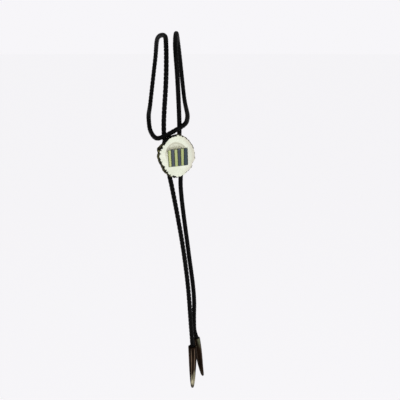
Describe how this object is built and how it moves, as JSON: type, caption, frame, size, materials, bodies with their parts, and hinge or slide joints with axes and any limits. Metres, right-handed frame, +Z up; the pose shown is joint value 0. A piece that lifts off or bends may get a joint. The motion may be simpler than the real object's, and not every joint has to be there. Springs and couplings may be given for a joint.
{
  "type": "bolo tie",
  "caption": "Braided black leather bolo tie hanging from its neck loop, with an antler slice slide inlaid with upright stone strips, and tapered antler tips",
  "frame": {"origin": "the hang point: the top of the round bar or neck under the cord, midway between its two runs", "axes": "+Z up, +X to the right of the slide's face as the picture shows it, +Y away from the viewer"},
  "size_m": [0.059, 0.0955, 0.3672],
  "materials": {
    "black_leather": "round braided black leather with a soft shine",
    "antler": "polished pale antler face with a dark knobbly rim",
    "clip_metal": "plain brushed metal",
    "green_stone": "polished yellow green stone",
    "slate_stone": "polished slate blue stone",
    "teal_stone": "polished dark teal blue stone",
    "dark_antler": "dark brown antler tine with a pale worn point"
  },
  "bodies": {
    "root": {"braided_cord": "black_leather", "antler_slice": "antler", "cord_clip": "clip_metal", "inlay_strip_1": "green_stone", "inlay_strip_2": "slate_stone", "inlay_strip_3": "green_stone", "inlay_strip_4": "slate_stone", "inlay_strip_5": "green_stone", "inlay_strip_6": "teal_stone", "antler_tip_front": "dark_antler", "antler_tip_rear": "dark_antler"}
  },
  "joints": []
}
